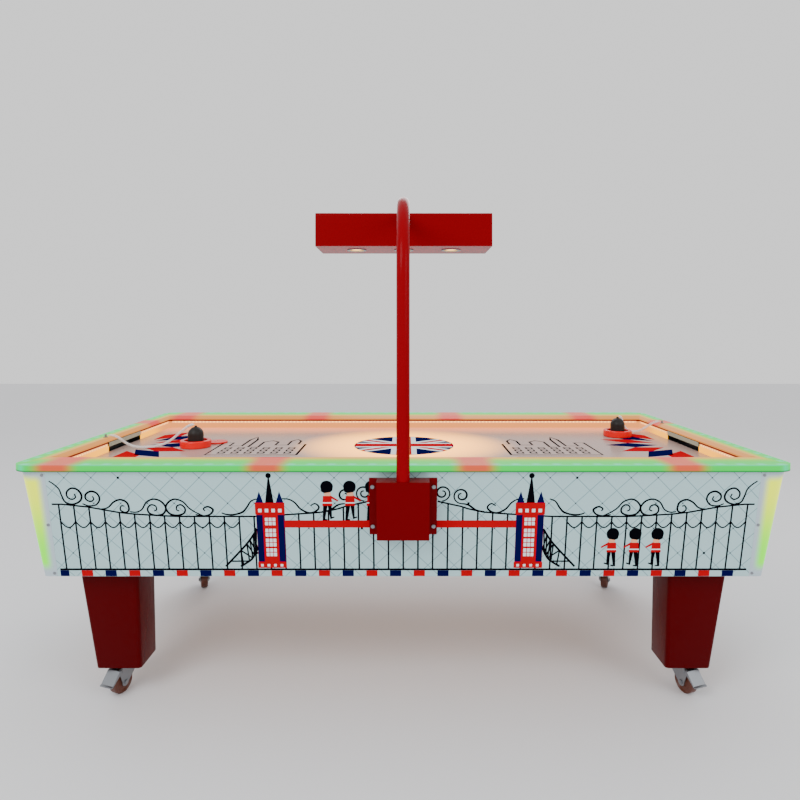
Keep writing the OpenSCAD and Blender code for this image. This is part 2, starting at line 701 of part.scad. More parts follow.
// Black knob that stands in the base's dish, with the tether's eye on top
module mallet_knob(at) color(black) translate([at[0], at[1], field_z + float_gap]) {
    rotate_extrude($fn = 96) polygon(concat(
        [[0, 0.6], [6.9, 0.6], [6.9, dish_floor + 0.1], [knob_r + 2, dish_floor + 0.1],
         [knob_r + 2, dish_floor + 4], [knob_r, dish_floor + 8]],
        arc([0, mallet_h - knob_r], knob_r, 0, 90, 12)));
    translate([0, 0, mallet_h - 1]) cylinder(r = 5, h = 5, $fn = 24);
}

module puck() color([0.85, 0.08, 0.07])
  translate([puck_at[0], puck_at[1], field_z + float_gap]) rotate_extrude($fn = 96)
    polygon(concat([[0, 0]], arc([puck_d / 2 - 1.5, 1.5], 1.5, -90, 0, 4),
        arc([puck_d / 2 - 1.5, puck_t - 1.5], 1.5, 0, 90, 4), [[0, puck_t]]));

// A flanged post for each tether, screwed to the rim's top
module tether_anchors() color(zinc) for (p = [anchor_left, anchor_right])
  translate([p[0], p[1], table_hgt]) {
    cylinder(r = 9, h = 2, $fn = 32);
    cylinder(r = 4, h = 12, $fn = 24);
}

// A closed tube of diameter d, with flat ends, that follows a route of points
module swept_tube(route, d) {
    n = len(route);
    m = tether_sides;
    function way(i) = let (v = route[min(i + 1, n - 1)] - route[max(i - 1, 0)]) v / norm(v);
    function across(i) = let (v = cross([0, 0, 1], way(i))) v / norm(v);
    rings = [for (i = [0:n - 1], k = [0:m - 1]) let (s = across(i), u = cross(way(i), s))
        route[i] + d / 2 * (cos(360 * k / m) * s + sin(360 * k / m) * u)];
    sides = [for (i = [0:n - 2], k = [0:m - 1])
        [i * m + k, i * m + (k + 1) % m, (i + 1) * m + (k + 1) % m, (i + 1) * m + k]];
    polyhedron(rings, concat([[for (k = [m - 1:-1:0]) k]], sides, [[for (k = [0:m - 1]) (n - 1) * m + k]]));
}

module tether(route) color([0.92, 0.92, 0.90]) swept_tube(route, tether_d);

// ---------------------------------------------------------------- nodes

module set_down() translate([0, table_y, 0]) children();

set_down() playfield();
set_down() plenum_tray();
set_down() cabinet_frame();
set_down() deck_boards();
set_down() base_board();
set_down() side_panel(-1);  // front_panel
set_down() side_panel(1);  // back_panel
set_down() end_panel(-1);  // left_end_panel
set_down() end_panel(1);  // right_end_panel
set_down() corner_lens(-1, -1);  // corner_lens_fl
set_down() corner_lens(1, -1);  // corner_lens_fr
set_down() corner_lens(-1, 1);  // corner_lens_bl
set_down() corner_lens(1, 1);  // corner_lens_br
set_down() lens_screws();
set_down() rim_long(-1);  // rim_front
set_down() rim_long(1);  // rim_back
set_down() rim_end(-1);  // rim_left
set_down() rim_end(1);  // rim_right
set_down() side_cushions();
set_down() end_cushions();
set_down() led_strips();
set_down() goal_chute(-1);  // goal_chute_left
set_down() goal_chute(1);  // goal_chute_right
set_down() power_inlet();
set_down() mast();
set_down() mast_bracket();
set_down() mast_screws();
set_down() hood_shell();
set_down() hood_underside();
set_down() lamp_bezels();
set_down() lamp_lenses();
set_down() score_windows();
set_down() leg(-1, -1);  // leg_fl
set_down() leg(1, -1);  // leg_fr
set_down() leg(-1, 1);  // leg_bl
set_down() leg(1, 1);  // leg_br
set_down() caster_plates();
set_down() blower_housing();
set_down() blower_motor();
set_down() impeller();
set_down() caster_fork(0);  // caster_fork_fl
set_down() caster_fork(1);  // caster_fork_fr
set_down() caster_fork(2);  // caster_fork_bl
set_down() caster_fork(3);  // caster_fork_br
set_down() caster_wheel(0);  // caster_wheel_fl
set_down() caster_wheel(1);  // caster_wheel_fr
set_down() caster_wheel(2);  // caster_wheel_bl
set_down() caster_wheel(3);  // caster_wheel_br
set_down() caster_brake(0);  // caster_brake_fl
set_down() caster_brake(1);  // caster_brake_fr
set_down() caster_brake(2);  // caster_brake_bl
set_down() caster_brake(3);  // caster_brake_br
set_down() puck();
set_down() mallet_base(mallet_left);  // mallet_base_left
set_down() mallet_base(mallet_right);  // mallet_base_right
set_down() mallet_knob(mallet_left);  // mallet_knob_left
set_down() mallet_knob(mallet_right);  // mallet_knob_right
set_down() tether_anchors();
set_down() tether(tether_left_route);  // tether_left
set_down() tether(tether_right_route);  // tether_right
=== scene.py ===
import math

import bmesh
import bpy
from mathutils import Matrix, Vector


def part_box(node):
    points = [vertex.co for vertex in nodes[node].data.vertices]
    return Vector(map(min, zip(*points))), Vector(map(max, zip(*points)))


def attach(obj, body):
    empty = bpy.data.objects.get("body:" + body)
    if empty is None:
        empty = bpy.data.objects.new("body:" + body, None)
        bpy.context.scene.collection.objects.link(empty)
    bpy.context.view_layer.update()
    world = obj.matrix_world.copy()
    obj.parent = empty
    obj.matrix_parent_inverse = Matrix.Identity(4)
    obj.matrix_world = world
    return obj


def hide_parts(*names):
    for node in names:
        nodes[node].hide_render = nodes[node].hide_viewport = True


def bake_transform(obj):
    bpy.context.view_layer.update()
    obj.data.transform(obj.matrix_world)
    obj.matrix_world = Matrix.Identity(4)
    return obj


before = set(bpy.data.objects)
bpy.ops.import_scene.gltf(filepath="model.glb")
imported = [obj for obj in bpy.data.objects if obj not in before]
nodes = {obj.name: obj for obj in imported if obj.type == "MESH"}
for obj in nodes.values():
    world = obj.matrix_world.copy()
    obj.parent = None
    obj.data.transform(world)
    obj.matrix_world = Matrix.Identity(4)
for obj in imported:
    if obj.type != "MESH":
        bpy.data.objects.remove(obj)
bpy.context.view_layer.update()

fieldLow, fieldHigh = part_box("playfield")
panelLow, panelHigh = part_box("front_panel")
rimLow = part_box("rim_front")[0]
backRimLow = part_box("rim_back")[0]
endRimLow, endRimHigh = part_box("rim_right")
tableY = (fieldLow.y + fieldHigh.y) / 2
fieldZ = fieldHigh.z
playX = endRimLow.x
playY = backRimLow.y - tableY
rimX = endRimHigh.x  # half the rim's length and width, to its outer edge
rimY = tableY - rimLow.y
print("frame loaded:", len(nodes), "nodes")


cameraAt = {"x": 0.010, "y": -2.434, "height": 1.20, "lens": 27.37, "shiftX": -0.008, "shiftY": -0.0835}

camData = bpy.data.cameras.new("camera")
camData.lens = cameraAt["lens"]
camData.sensor_width = 36
camData.shift_x = cameraAt["shiftX"]
camData.shift_y = cameraAt["shiftY"]
camData.clip_end = 100
camera = bpy.data.objects.new("camera", camData)
camera.location = (cameraAt["x"], cameraAt["y"], cameraAt["height"])
camera.rotation_euler = (math.pi / 2, 0, 0)
bpy.context.collection.objects.link(camera)
bpy.context.scene.camera = camera
print("camera set")


# a socket that can be written in plain sums, each sum adding its Math node
class Wire:
    def __init__(self, finish, socket):
        self.finish = finish
        self.socket = socket

    def math(self, operation, other=None):
        return self.finish.node("ShaderNodeMath", {"operation": operation}, {0: self, 1: other})

    def flipped(self, operation, other):
        return self.finish.node("ShaderNodeMath", {"operation": operation}, {0: other, 1: self})

    def __add__(self, other): return self.math("ADD", other)
    def __radd__(self, other): return self.flipped("ADD", other)
    def __sub__(self, other): return self.math("SUBTRACT", other)
    def __rsub__(self, other): return self.flipped("SUBTRACT", other)
    def __mul__(self, other): return self.math("MULTIPLY", other)
    def __rmul__(self, other): return self.flipped("MULTIPLY", other)
    def __truediv__(self, other): return self.math("DIVIDE", other)
    def __lt__(self, other): return self.math("LESS_THAN", other)
    def __abs__(self): return self.math("ABSOLUTE")


# a material with its shader, and one way to add any node to it
class Finish:
    def __init__(self, name, **settings):
        self.material = bpy.data.materials.new(name)
        self.material.use_nodes = True
        self.tree = self.material.node_tree
        self.shader = self.tree.nodes["Principled BSDF"]
        for key, value in settings.items():
            self.set(key, value)

    names = {"color": "Base Color", "rough": "Roughness", "metal": "Metallic", "coat": "Coat Weight",
             "coatRough": "Coat Roughness", "glow": "Emission Color", "glowPower": "Emission Strength",
             "normal": "Normal", "specular": "Specular IOR Level"}

    def set(self, key, value):
        socket = self.shader.inputs[self.names[key]]
        if isinstance(value, Wire):
            self.tree.links.new(value.socket, socket)
        elif isinstance(value, tuple) and len(value) == 3:
            socket.default_value = (*value, 1)
        else:
            socket.default_value = value

    def node(self, kind, settings=None, inputs=None, output=0):
        made = self.tree.nodes.new(kind)
        for key, value in (settings or {}).items():
            if key == "stops":
                ramp = made.color_ramp
                while len(ramp.elements) < len(value):
                    ramp.elements.new(1)
                for element, (place, color) in zip(ramp.elements, value):
                    element.position = place
                    element.color = (*color, 1)
            else:
                setattr(made, key, value)
        for key, value in (inputs or {}).items():
            if value is None:
                continue
            if isinstance(value, Wire):
                self.tree.links.new(value.socket, made.inputs[key])
            elif isinstance(value, tuple) and len(value) == 3 and made.inputs[key].type == "RGBA":
                made.inputs[key].default_value = (*value, 1)
            else:
                made.inputs[key].default_value = value
        return Wire(self, made.outputs[output])

    def place(self):
        # X, Y and Z of the shaded point, in metres
        where = self.node("ShaderNodeTexCoord", output=3)
        return [self.node("ShaderNodeSeparateXYZ", None, {0: where}, k) for k in range(3)]

    def mix(self, share, first, second):
        settings = {"data_type": "RGBA"}
        return self.node("ShaderNodeMix", settings, {0: share, 6: first, 7: second}, 2)

    def ramp(self, value, stops):
        return self.node("ShaderNodeValToRGB", {"stops": stops}, {0: value})

    def smooth(self, value, low, high):
        settings = {"interpolation_type": "SMOOTHSTEP"}
        return self.node("ShaderNodeMapRange", settings, {0: value, 1: low, 2: high, 3: 0.0, 4: 1.0})

    def noise(self, scale, detail=3.0):
        where = self.node("ShaderNodeTexCoord", output=3)
        return self.node("ShaderNodeTexNoise", None, {"Vector": where, "Scale": scale, "Detail": detail})

    def bump(self, height, strength, distance):
        inputs = {"Strength": strength, "Distance": distance, "Height": height}
        self.set("normal", self.node("ShaderNodeBump", None, inputs))

    def wear(self, low, high, scale=30.0):
        # roughness that drifts a little over the surface, as handling leaves it
        self.set("rough", low + (high - low) * self.noise(scale))
        return self


def srgb(red, green, blue, depth=1.6, level=1):
    # screen colour, 0 to 255, to linear values, deepened a little as the display pales strong colours
    linear = [(c / 255 / 12.92) if c < 10 else ((c / 255 + 0.055) / 1.055) ** 2.4 for c in (red, green, blue)]
    top = max(linear) or 1
    return tuple(level * top * (c / top) ** depth for c in linear)


def painted(name, color, rough=0.4, **settings):
    # a plain finish with a little wear in its roughness
    return Finish(name, color=color, **settings).wear(rough * 0.85, rough * 1.2)


def newObject(name, bm, finish, body="cabinet", smooth=40):
    bmesh.ops.recalc_face_normals(bm, faces=bm.faces)
    mesh = bpy.data.meshes.new(name)
    bm.to_mesh(mesh)
    bm.free()
    obj = bpy.data.objects.new(name, mesh)
    bpy.context.collection.objects.link(obj)
    for one in finish if isinstance(finish, (list, tuple)) else [finish]:
        mesh.materials.append(one.material)
    if smooth:
        mesh.shade_smooth()
        mesh.set_sharp_from_angle(angle=math.radians(smooth))
    if body:
        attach(obj, body)
    return obj


def addLoops(bm, rings, material=0):
    # skins a list of rings of points, each ring joined to the next, and closes both ends
    loops = [[bm.verts.new(p) for p in ring] for ring in rings]
    count = len(loops[0])
    for a, b in zip(loops, loops[1:]):
        for i in range(count):
            j = (i + 1) % count
            bm.faces.new((a[i], a[j], b[j], b[i])).material_index = material
    bm.faces.new(loops[0]).material_index = material
    bm.faces.new(list(reversed(loops[-1]))).material_index = material


def arc(cx, cy, radius, start, stop, steps=8):
    # points along an arc, in degrees
    angles = [math.radians(start + (stop - start) * k / steps) for k in range(steps + 1)]
    return [(cx + radius * math.cos(angle), cy + radius * math.sin(angle)) for angle in angles]


def curved(points, steps=6):
    # a smooth line through the given points
    ends = [points[0]] + list(points) + [points[-1]]
    line = []
    for a, b, c, d in zip(ends, ends[1:], ends[2:], ends[3:]):
        for k in range(steps):
            t = k / steps
            line.append(tuple(0.5 * (2 * q + (r - p) * t + (2 * p - 5 * q + 4 * r - s) * t * t
                                     + (3 * q - p - 3 * r + s) * t ** 3) for p, q, r, s in zip(a, b, c, d)))
    return line + [tuple(points[-1])]


def plate(bm, outline, lay, thick, material=0):
    # a thin closed plate: lay(u, v, lift) gives its place on the surface
    low = [bm.verts.new(lay(u, v, 0)) for u, v in outline]
    high = [bm.verts.new(lay(u, v, thick)) for u, v in outline]
    bm.faces.new(low).material_index = material
    bm.faces.new(list(reversed(high))).material_index = material
    for i in range(len(low)):
        j = (i + 1) % len(low)
        bm.faces.new((low[i], low[j], high[j], high[i])).material_index = material


def ribbon(bm, line, width, lay, thick, material=0):
    # a thin closed strip of even or given widths along a line
    left, right = [], []
    for i, (u, v) in enumerate(line):
        a, b = line[max(i - 1, 0)], line[min(i + 1, len(line) - 1)]
        du, dv = b[0] - a[0], b[1] - a[1]
        size = math.hypot(du, dv) or 1
        half = (width(i / (len(line) - 1)) if callable(width) else width) / 2
        left.append((u - dv / size * half, v + du / size * half))
        right.append((u + dv / size * half, v - du / size * half))
    rings = [[lay(*l, 0), lay(*l, thick), lay(*r, thick), lay(*r, 0)] for l, r in zip(left, right)]
    addLoops(bm, rings, material=material)


def oblong(x0, y0, x1, y1):
    return [(x0, y0), (x1, y0), (x1, y1), (x0, y1)]


# the curly tethers of the mallets, in metres
tethers = {
    "wire": 0.0024, "coilRadius": 0.0043, "pitch": 0.0042, "stepsPerTurn": 12, "sides": 6,
    "spacing": 0.0008, "ease": 30,  # steps of the middle line; one part in so many eases in at each end
    "color": (0.86, 0.86, 0.85), "rough": 0.35,
    "routes": {
        "left": [(-1.137, -0.118, 0.808), (-1.122, -0.115, 0.807), (-1.106, -0.111, 0.800),
                 (-1.092, -0.106, 0.788), (-1.076, -0.100, 0.774), (-1.056, -0.092, 0.762),
                 (-1.032, -0.083, 0.755), (-1.004, -0.073, 0.754), (-0.976, -0.062, 0.755),
                 (-0.950, -0.050, 0.762), (-0.926, -0.038, 0.776), (-0.906, -0.028, 0.793),
                 (-0.888, -0.022, 0.810), (-0.870, -0.020, 0.824), (-0.852, -0.024, 0.833),
                 (-0.836, -0.033, 0.836)],
        "right": [(1.137, 0.247, 0.808), (1.122, 0.252, 0.806), (1.108, 0.260, 0.798),
                  (1.096, 0.270, 0.787), (1.083, 0.281, 0.774), (1.068, 0.291, 0.762),
                  (1.048, 0.297, 0.755), (1.026, 0.294, 0.756), (1.006, 0.285, 0.764),
                  (0.990, 0.273, 0.779), (0.977, 0.259, 0.797), (0.966, 0.244, 0.815),
                  (0.956, 0.230, 0.829), (0.945, 0.218, 0.836)]},
}


def evenLine(points, spacing):
    # the same line with points at an even spacing along it
    lengths = [0]
    for a, b in zip(points, points[1:]):
        lengths.append(lengths[-1] + (b - a).length)
    count = max(2, round(lengths[-1] / spacing))
    line, k = [], 0
    for i in range(count + 1):
        want = lengths[-1] * i / count
        while k < len(points) - 2 and lengths[k + 1] < want:
            k += 1
        share = (want - lengths[k]) / (lengths[k + 1] - lengths[k])
        line.append(points[k].lerp(points[k + 1], share))
    return line


def tubeAlong(line, radius, sides, up=Vector((0, 0, 1))):
    # a round tube along a line, its rings carried along without twisting
    rings = []
    across = None
    for i, point in enumerate(line):
        along = (line[min(i + 1, len(line) - 1)] - line[max(i - 1, 0)]).normalized()
        across = (across or along.cross(up) or up).normalized()
        across = (across - along * across.dot(along)).normalized()
        other = along.cross(across)
        rings.append([point + (across * math.cos(2 * math.pi * k / sides)
                               + other * math.sin(2 * math.pi * k / sides)) * radius for k in range(sides)])
    return rings


def coil(route, settings):
    # the helix of the wire about the route, drawn in to the route at each end
    center = evenLine([Vector((x, y + tableY, z)) for x, y, z in curved(route, 8)],
                      settings["spacing"])
    line, across = [], None
    reach = len(center) * settings["spacing"]
    turns = reach / settings["pitch"]
    steps = round(turns * settings["stepsPerTurn"])
    for k in range(steps + 1):
        share = k / steps
        at = share * (len(center) - 1)
        i = min(int(at), len(center) - 2)
        point = center[i].lerp(center[i + 1], at - i)
        along = (center[min(i + 2, len(center) - 1)] - center[max(i - 1, 0)]).normalized()
        across = across or along.cross(Vector((0, 0, 1))).normalized()
        across = (across - along * across.dot(along)).normalized()
        other = along.cross(across)
        turn = 2 * math.pi * turns * share
        radius = settings["coilRadius"] * min(1, share * settings["ease"], (1 - share) * settings["ease"])
        line.append(point + (across * math.cos(turn) + other * math.sin(turn)) * radius)
    return line


cordFinish = painted("tether_cord", tethers["color"], tethers["rough"], coat=0.3)
for side in ("left", "right"):
    route = tethers["routes"][side]
    helix = coil(route, tethers)
    bm = bmesh.new()
    addLoops(bm, tubeAlong(helix, tethers["wire"] / 2, tethers["sides"]))
    cord = newObject("tether_cord_" + side, bm, cordFinish, body=None, smooth=80)
    length = sum((b - a).length for a, b in zip(helix, helix[1:]))
    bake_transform(cord)
    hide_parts("tether_" + side)
    print("tether", side, "wire", round(length, 2), "m")


def dress(finish, *names):
    for name in names:
        obj = nodes[name]
        obj.data.materials.clear()
        obj.data.materials.append(finish.material)


corners = ("fl", "fr", "bl", "br")

# the hood's underside gets a brighter red than the hood's own paint: painted light on its lower face
paint = {"mast": srgb(160, 8, 48, level=0.62), "bracket": srgb(132, 8, 38, level=0.6),
         "leg": srgb(106, 10, 28, level=0.5), "hood": srgb(150, 8, 42, level=0.62),
         "underside": srgb(150, 8, 30, level=0.8)}

for piece, names in (("mast", ["mast"]), ("bracket", ["mast_bracket"]), ("hood", ["hood_shell"]),
                     ("underside", ["hood_underside"]), ("leg", ["leg_" + c for c in corners])):
    finish = painted("paint_" + piece, paint[piece], 0.22, specular=0.04)
    finish.bump(finish.noise(900, 2), 0.06, 0.0004)
    dress(finish, *names)
legFinish = finish

metal = {"zinc": srgb(140, 142, 145), "fan": srgb(150, 152, 156), "motor": srgb(62, 66, 72)}
zinc = painted("zinc_steel", metal["zinc"], 0.32, metal=0.9)
dress(zinc, "mast_screws", "lens_screws", "caster_plates", "tether_anchors", "lamp_bezels",
      *["caster_fork_" + c for c in corners], *["caster_brake_" + c for c in corners])
dress(painted("fan_metal", metal["fan"], 0.4, metal=0.9), "impeller")
dress(painted("motor_paint", metal["motor"], 0.45), "blower_motor")

wood = Finish("plywood")
x, y, z = wood.place()
grain = wood.noise(7, 6)
streak = wood.node("ShaderNodeTexWave", {"wave_type": "BANDS", "bands_direction": "X"},
                   {"Scale": 9.0, "Distortion": 6.0, "Detail": 3.0})
wood.set("color", wood.mix(streak * 0.6 + grain * 0.3, srgb(196, 160, 112), srgb(158, 118, 74)))
wood.wear(0.5, 0.75)
dress(wood, "deck_boards", "base_board")
dress(painted("frame_grey", srgb(70, 72, 76), 0.5, metal=0.3), "cabinet_frame")
dress(painted("tray_grey", srgb(120, 122, 124), 0.5), "plenum_tray", "blower_housing")
plastic = painted("black_plastic", srgb(22, 22, 24), 0.42)
dress(plastic, "goal_chute_left", "goal_chute_right", "power_inlet")

# legs: tapered boxes of sheet steel with rolled corners, closed at the foot
legShape = {"x": (0.862, 0.862), "xOut": (1.010, 1.050), "y": (0.332, 0.348), "yOut": (0.458, 0.488),
            "radius": 0.012, "footBevel": 0.003, "steps": 6}


def legRing(inset, share, z, side, depth):
    # a rounded outline of the leg, share of the way up, moved in by inset
    low = [legShape[k][0] + (legShape[k][1] - legShape[k][0]) * share for k in ("x", "y")]
    high = [legShape[k][0] + (legShape[k][1] - legShape[k][0]) * share for k in ("xOut", "yOut")]
    low = [v + inset for v in low]
    high = [v - inset for v in high]
    radius = legShape["radius"] - inset
    points = []
    for cx, cy, start in ((high[0], high[1], 0), (low[0], high[1], 90),
                          (low[0], low[1], 180), (high[0], low[1], 270)):
        middle = (cx + (radius if cx == low[0] else -radius), cy + (radius if cy == low[1] else -radius))
        points += arc(*middle, radius, start, start + 90, legShape["steps"])
    return [(side * u, tableY + depth * v, z) for u, v in points]


for corner in corners:
    low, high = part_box("leg_" + corner)
    side, depth = (-1 if corner[1] == "l" else 1), (-1 if corner[0] == "f" else 1)
    bevel = legShape["footBevel"]
    bm = bmesh.new()
    addLoops(bm, [legRing(*ring, side, depth) for ring in (
        (bevel, 0, low.z), (bevel * 0.3, 0, low.z + bevel * 0.3), (0, 0, low.z + bevel), (0, 1, high.z))])
    leg = newObject("leg_shell_" + corner, bm, legFinish, smooth=30)
    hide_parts("leg_" + corner)

wheel = painted("wheel_nylon", srgb(84, 52, 38), 0.45)
dress(wheel, *["caster_wheel_" + c for c in corners])

red = {"mallet": srgb(245, 30, 36, level=0.85), "knob": srgb(20, 17, 16),
       "puck": srgb(240, 30, 36, level=0.85)}
dress(painted("mallet_red", red["mallet"], 0.25, specular=0.3),
      "mallet_base_left", "mallet_base_right")
dress(painted("mallet_knob", red["knob"], 0.5, specular=0.3), "mallet_knob_left", "mallet_knob_right")
dress(painted("puck_red", red["puck"], 0.28, specular=0.3), "puck")

lamp = {"color": srgb(255, 214, 140), "power": 5.0}
lampFinish = Finish("lamp_lens", color=srgb(250, 245, 235), glow=lamp["color"],
                    glowPower=lamp["power"], rough=0.3)
dress(lampFinish, "lamp_lenses")
window = Finish("score_window", color=srgb(26, 6, 8), coat=1.0, coatRough=0.05).wear(0.1, 0.2)
dress(window, "score_windows")


# the rim glows from the lights under its outer edge
rim = {
    "power": 1.1, "depth": 3.2,
    # inwards from the outer edge, in metres
    "across": [(0.000, (40, 250, 180)), (0.004, (60, 255, 225)), (0.014, (40, 250, 190)),
               (0.050, (70, 247, 170)), (0.080, (205, 243, 150)), (0.110, (252, 232, 165)),
               (0.150, (255, 222, 178))],
    "patches": [-1.06, -0.42, 0.22, 0.86], "patch": (255, 168, 172), "patchReach": 0.085, "patchSoft": 0.06,
    # a darker green band low on the rim's outer face, below the first of these heights: painted shadow line
    "endPatches": [0.29], "skirt": (0.7805, 0.786), "skirtColor": (95, 177, 128),
    "width": 0.165, "endScale": 2.1, "lightEvery": 0.0625, "light": (150, 255, 240),
}


def litRim(name, end):
    finish = Finish(name, rough=0.25, specular=0.04)
    x, y, z = finish.place()
    inward = rimX - abs(x) if end else rimY - abs(y - tableY)
    share = inward * ((rim["endScale"] if end else 1) / rim["width"])
    stops = [(d / rim["width"], srgb(*c, depth=rim["depth"])) for d, c in rim["across"]]
    color = finish.ramp(share, stops)
    mask = None
    for middle in rim["endPatches" if end else "patches"]:
        away = abs(y - tableY - middle) if end else abs(x - middle)
        one = 1 - finish.smooth(away, rim["patchReach"] - rim["patchSoft"], rim["patchReach"])
        mask = one if mask is None else mask.math("MAXIMUM", one)
    # brighter spots where the lights stand under the outer edge
    spacing = rim["lightEvery"]
    along = ((y if end else x) / spacing).math("FRACT") - 0.5
    spot = (1 - finish.smooth(abs(along), 0.05, 0.32)) * (1 - finish.smooth(abs(inward - 0.02), 0.003, 0.014))
    color = finish.mix(spot * 0.5, color, srgb(*rim["light"]))
    color = finish.mix(mask * 0.9, color, srgb(*rim["patch"], depth=rim["depth"]))
    # painted shadow: the darker band under the rim
    aboveShadowLine = finish.smooth(z, *rim["skirt"])
    color = finish.mix(aboveShadowLine, srgb(*rim["skirtColor"], depth=2, level=0.5), color)
    finish.set("glow", color)
    finish.set("glowPower", rim["power"])
    finish.set("color", finish.mix(0.94, color, (0, 0, 0)))
    return finish


dress(litRim("lit_rim_side", False), "rim_front", "rim_back")
dress(litRim("lit_rim_end", True), "rim_left", "rim_right")

cushion = {"color": (255, 205, 155), "goal": (255, 222, 120), "line": (150, 70, 50), "power": 1.5,
           "dotEvery": 0.0167, "dot": (0.005, 0.003, 0.0012), "dotColor": (255, 222, 130), "dotPower": 4.0,
           "goalReach": (0.24, 0.40), "lineZ": (0.7765, 0.7785)}
wall = Finish("lit_cushion", rough=0.35, specular=0.08)
x, y, z = wall.place()
nearGoal = wall.smooth(abs(x), playX - 0.02, playX)
nearGoal = nearGoal * (1 - wall.smooth(abs(y - tableY), *cushion["goalReach"]))
hue = wall.mix(nearGoal, srgb(*cushion["color"], depth=2.2), srgb(*cushion["goal"], depth=3.0, level=1.7))
color = wall.mix(wall.smooth(z, *cushion["lineZ"]), hue, srgb(*cushion["line"], depth=2, level=0.5))
wall.set("glow", color)
wall.set("glowPower", cushion["power"])
wall.set("color", wall.mix(0.9, color, (0, 0, 0)))
dress(wall, "side_cushions", "end_cushions")
tape = Finish("led_tape", color=srgb(250, 210, 165), glow=srgb(255, 205, 155), glowPower=0.8, rough=0.5)
dress(tape, "led_strips")

lens = {"seamX": 1.091, "seamY": 0.498, "power": 1.7, "low": (196, 255, 60), "high": (250, 255, 110),
        "rest": (185, 195, 200), "seam": (0.006, 0.034), "fadeIn": (0.446, 0.482), "fadeOut": (0.742, 0.772),
        "turn": (0.5, 0.72)}
lit = Finish("lit_lens", rough=0.25, specular=0.1)
x, y, z = lit.place()
beside = (abs(x) - lens["seamX"]).math("MINIMUM", abs(y - tableY) - lens["seamY"])
shine = lit.smooth(beside, *lens["seam"]) * lit.smooth(z, *lens["fadeIn"])
shine = shine * (1 - lit.smooth(z, *lens["fadeOut"]))
lit.set("color", lit.mix(shine, srgb(*lens["rest"]), (0.06, 0.07, 0.01)))
hue = lit.mix(lit.smooth(z, *lens["turn"]), srgb(*lens["low"], depth=3.2), srgb(*lens["high"], depth=3.2))
lit.set("glow", lit.mix(shine, (0, 0, 0), hue))
lit.set("glowPower", lens["power"])
dress(lit, *["corner_lens_" + c for c in corners])


# the field's own colour and air holes, then painted light: a warm pool of lamp light in the middle and warm
# spill near the long sides
field = {"color": (172, 156, 150), "holeEvery": 0.0254, "holeRadius": 0.0009,
         "lampPoolReach": (0.22, 0.17), "lampPoolColor": (255, 208, 60), "rimSpillWidth": 0.2, "power": 4.0}
top = Finish("field_laminate", specular=0.06)
x, y, z = top.place()
# the air holes are drawn as near-black dots: painted shade inside the holes
gap = None
for value in (x, y - tableY):
    cell = (value / field["holeEvery"]).math("FRACT") - 0.5
    gap = cell * cell if gap is None else gap + cell * cell
hole = gap < (field["holeRadius"] / field["holeEvery"]) ** 2
# painted light: a warm yellow pool where the hood's lamps fall on the middle of the field, laid into both the
# colour and the glow
across = x * x / field["lampPoolReach"][0] + (y - tableY) * (y - tableY) / field["lampPoolReach"][1]
lampPoolShare = 1 - top.smooth(across, 0.0, 1.0)
base = top.mix(lampPoolShare * 0.55, srgb(*field["color"]), srgb(255, 225, 150))
top.set("color", top.mix(hole, base, srgb(20, 20, 20)))
# painted light: warm spill from the lit rim along the long sides, in the glow
rimSpillShare = top.smooth(abs(y - tableY), playY - field["rimSpillWidth"], playY) * 0.3
glow = top.mix(lampPoolShare, (0, 0, 0), srgb(*field["lampPoolColor"], depth=2.3))
top.set("glow", top.mix(rimSpillShare, glow, srgb(255, 180, 120, depth=2)))
top.set("glowPower", field["power"])
top.wear(0.14, 0.24, 8)
dress(top, "playfield")


panel = {"color": (178, 199, 201), "line": (104, 128, 134), "columns": 0.0823, "rows": 0.0827,
         "start": -0.8688, "dotZ": 0.7598}


def latticePanel(name, end):
    finish = Finish(name, coat=0.35, coatRough=0.15)
    x, y, z = finish.place()
    u = (y - tableY) if end else x
    lines = None
    a = (u - panel["start"]) / panel["columns"]
    b = (panel["dotZ"] - z) / panel["rows"]
    for value in (a + b, a - b):
        off = abs((value + 0.5).math("FRACT") - 0.5)
        near = 1 - finish.smooth(off, 0.010, 0.026)
        lines = near if lines is None else lines.math("MAXIMUM", near)
    finish.set("color", finish.mix(lines * 0.8, srgb(*panel["color"]), srgb(*panel["line"])))
    finish.wear(0.3, 0.42, 12)
    return finish


dress(latticePanel("side_panel_print", False), "front_panel", "back_panel")
dress(latticePanel("end_panel_print", True), "left_end_panel", "right_end_panel")
print("finishes done")


ink = {"black": srgb(8, 8, 12), "navy": srgb(8, 8, 84, level=0.6), "red": srgb(205, 14, 62, level=0.7),
       "white": srgb(225, 228, 230), "pale": srgb(225, 185, 160)}
inks = [painted("ink_" + name, color, 0.45, specular=0.0) for name, color in ink.items()]
black, navy, scarlet, white, pale = range(5)  # places of the inks in that order

scenery = {
    # top edge of the panel's face from the middle of the table, and the print's gap from it
    "faceY": 0.586, "gap": 0.00003,
    "half": 1.081, "lean": 0.074, "rise": 0.348, "film": 0.0002,
    "baseLine": (0.4525, 0.4592), "blocks": {"start": -1.0891, "every": 0.0748, "width": 0.0355, "count": 29},
    "bars": {"half": 1.06, "count": 47, "width": 0.0052, "low": 0.459},
    "rail": [(0.0, 0.6835), (0.106, 0.6835), (0.179, 0.6668), (0.198, 0.6597), (0.245, 0.6488),
             (0.288, 0.6446), (0.3665, 0.6395), (0.46, 0.634), (0.694, 0.634), (0.740, 0.636),
             (0.830, 0.6416), (0.877, 0.647), (0.970, 0.665), (1.05, 0.674), (1.081, 0.674)],
    "scallop": {"from": 0.47, "high": 0.617, "drop": 0.02},
    "line": 0.0052, "towers": (-0.411, 0.392), "bridge": (0.597, 0.621),
    "walkers": (-0.233, -0.163, -0.0965), "guards": (0.651, 0.721, 0.790),
}


